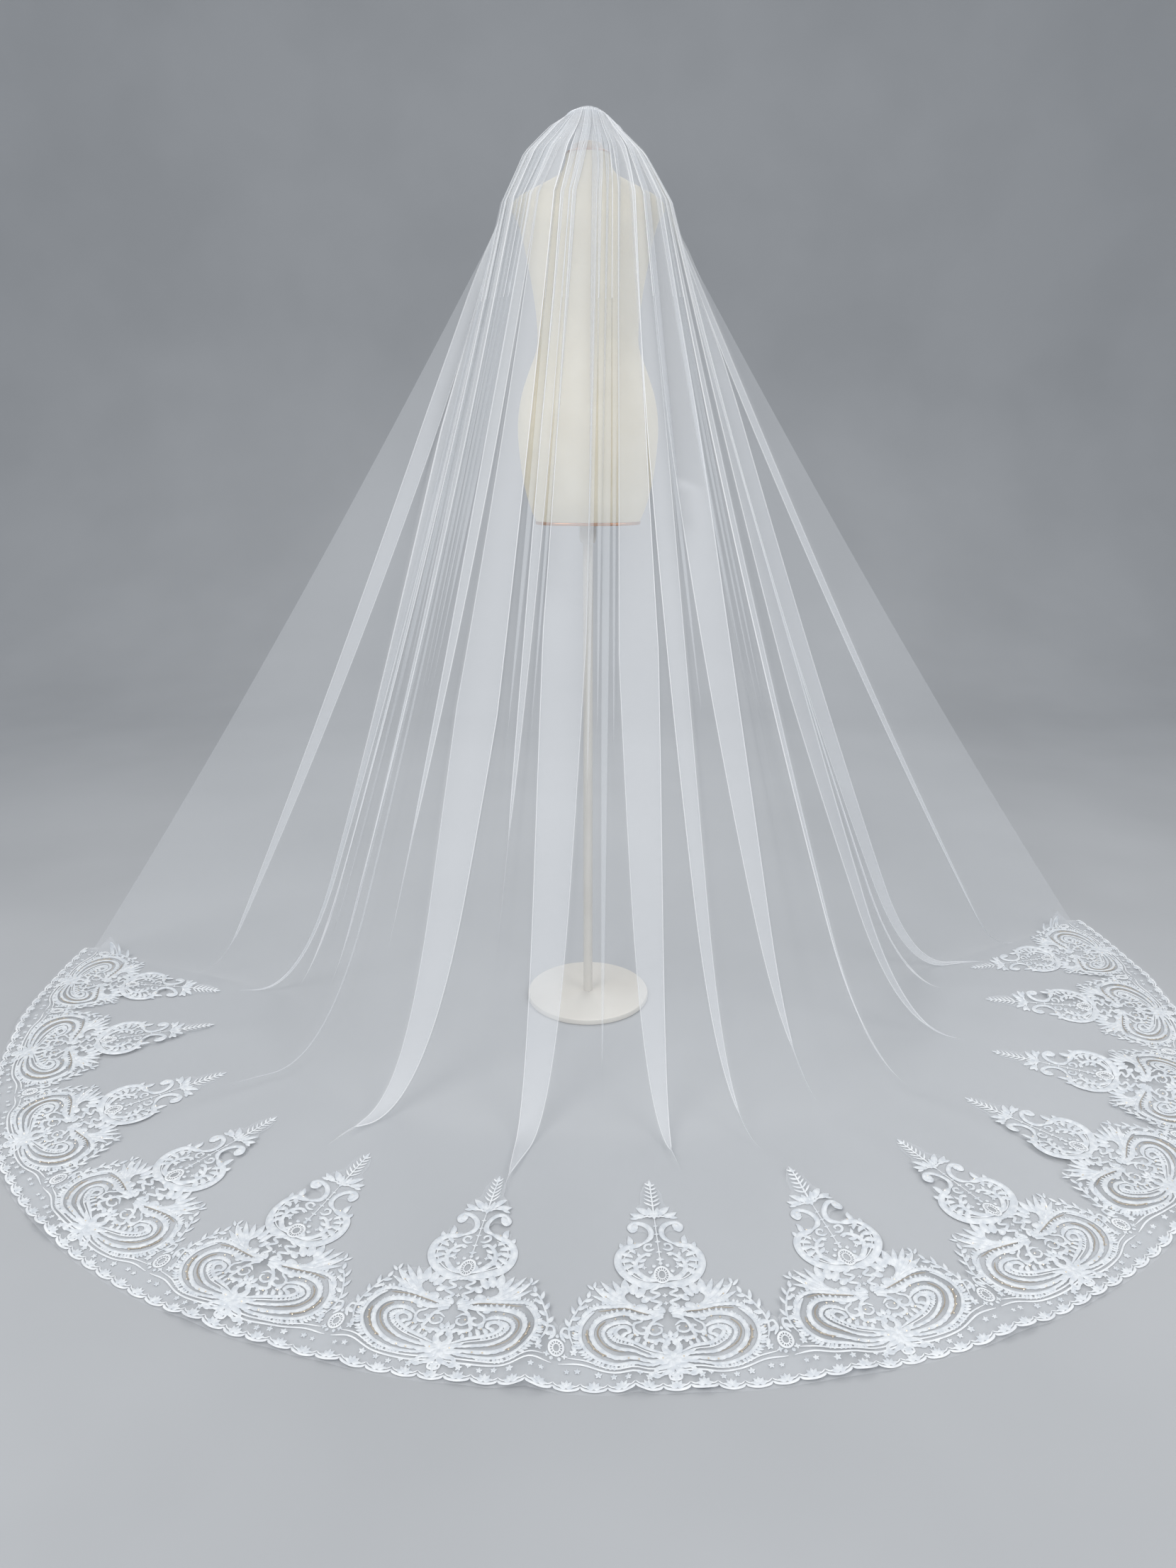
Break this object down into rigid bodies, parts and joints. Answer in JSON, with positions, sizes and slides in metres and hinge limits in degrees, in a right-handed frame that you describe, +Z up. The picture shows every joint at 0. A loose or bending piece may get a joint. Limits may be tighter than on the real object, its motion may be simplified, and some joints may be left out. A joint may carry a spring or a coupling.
{
  "type": "bridal veil on a dress form",
  "caption": "Cathedral veil of gathered tulle with a scalloped lace border, draped from a comb over a limbless dress form on a stand, its train spread on the floor.",
  "frame": {"origin": "centre of the stand base's underside, on the floor under the dress form's axis", "axes": "+Z up along the form's axis; -Y from the form's back towards the train's middle; +X to the right when the train is seen from in front"},
  "size_m": [3.2301, 1.8031, 2.184],
  "materials": {
    "silk_tulle": "sheer white tulle",
    "corded_lace": "corded white lace",
    "satin_binding": "satin",
    "comb_wire": "polished wire",
    "ivory_jersey": "matt ivory jersey",
    "brushed_copper": "brushed copper",
    "pale_wood": "satin varnish",
    "painted_steel": "satin paint"
  },
  "bodies": {
    "root": {"tulle_left_edge": "silk_tulle", "tulle_left": "silk_tulle", "tulle_middle": "silk_tulle", "tulle_right": "silk_tulle", "tulle_right_edge": "silk_tulle", "lace_repeat_01": "corded_lace", "lace_repeat_02": "corded_lace", "lace_repeat_03": "corded_lace", "lace_repeat_04": "corded_lace", "lace_repeat_05": "corded_lace", "lace_repeat_06": "corded_lace", "lace_repeat_07": "corded_lace", "lace_repeat_08": "corded_lace", "lace_repeat_09": "corded_lace", "lace_repeat_10": "corded_lace", "lace_repeat_11": "corded_lace", "lace_repeat_12": "corded_lace", "lace_repeat_13": "corded_lace", "heading": "satin_binding", "comb": "comb_wire", "form_torso": "ivory_jersey", "form_rim": "brushed_copper", "neck_trim": "brushed_copper", "neck_cap": "pale_wood", "stand_collar": "painted_steel", "stand_pole": "painted_steel", "stand_base": "painted_steel"}
  },
  "joints": []
}
